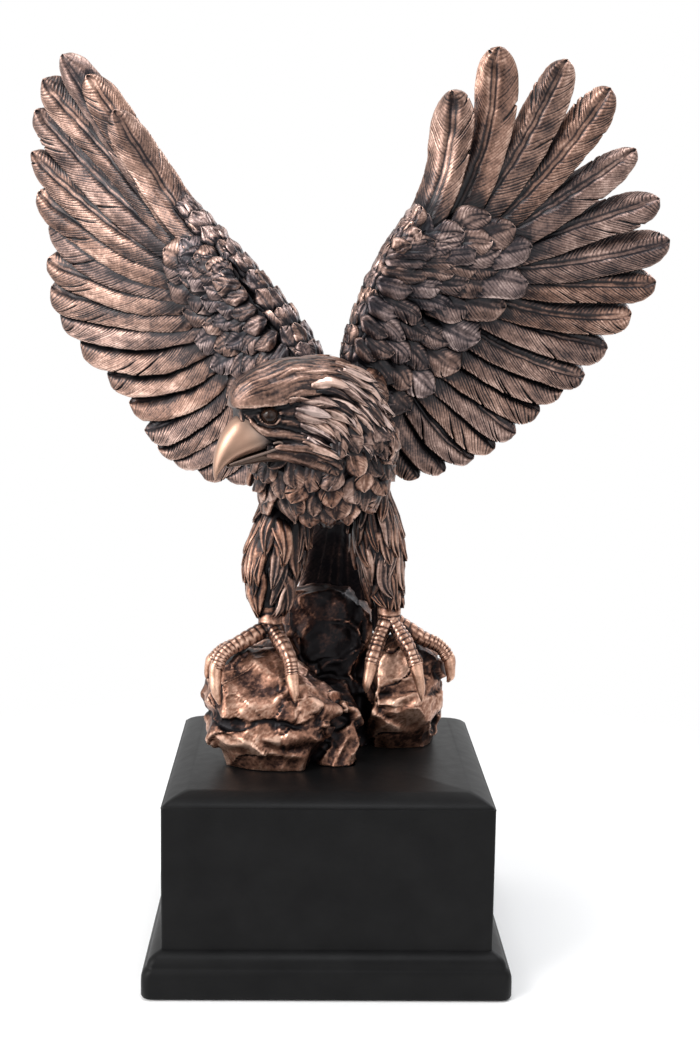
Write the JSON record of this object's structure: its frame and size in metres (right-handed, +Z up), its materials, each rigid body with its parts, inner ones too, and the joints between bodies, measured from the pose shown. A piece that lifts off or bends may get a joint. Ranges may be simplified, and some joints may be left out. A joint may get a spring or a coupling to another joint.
{
  "type": "eagle figurine",
  "caption": "Copper-finished cast eagle landing on rocks with its wings raised in a V, set on a black moulded square plinth.",
  "frame": {"origin": "middle of the plinth's underside", "axes": "+Z up, -Y the side that the plinth and the breast show to the viewer, +X towards the bird's own left wing"},
  "size_m": [0.2269, 0.1273, 0.3048],
  "materials": {
    "black_painted_wood": "black satin paint over wood",
    "antique_copper": "antique copper plating on cast resin: bright copper on raised parts, dark brown patina in the hollows"
  },
  "bodies": {
    "root": {"plinth": "black_painted_wood", "eagle_on_rocks": "antique_copper"}
  },
  "joints": []
}
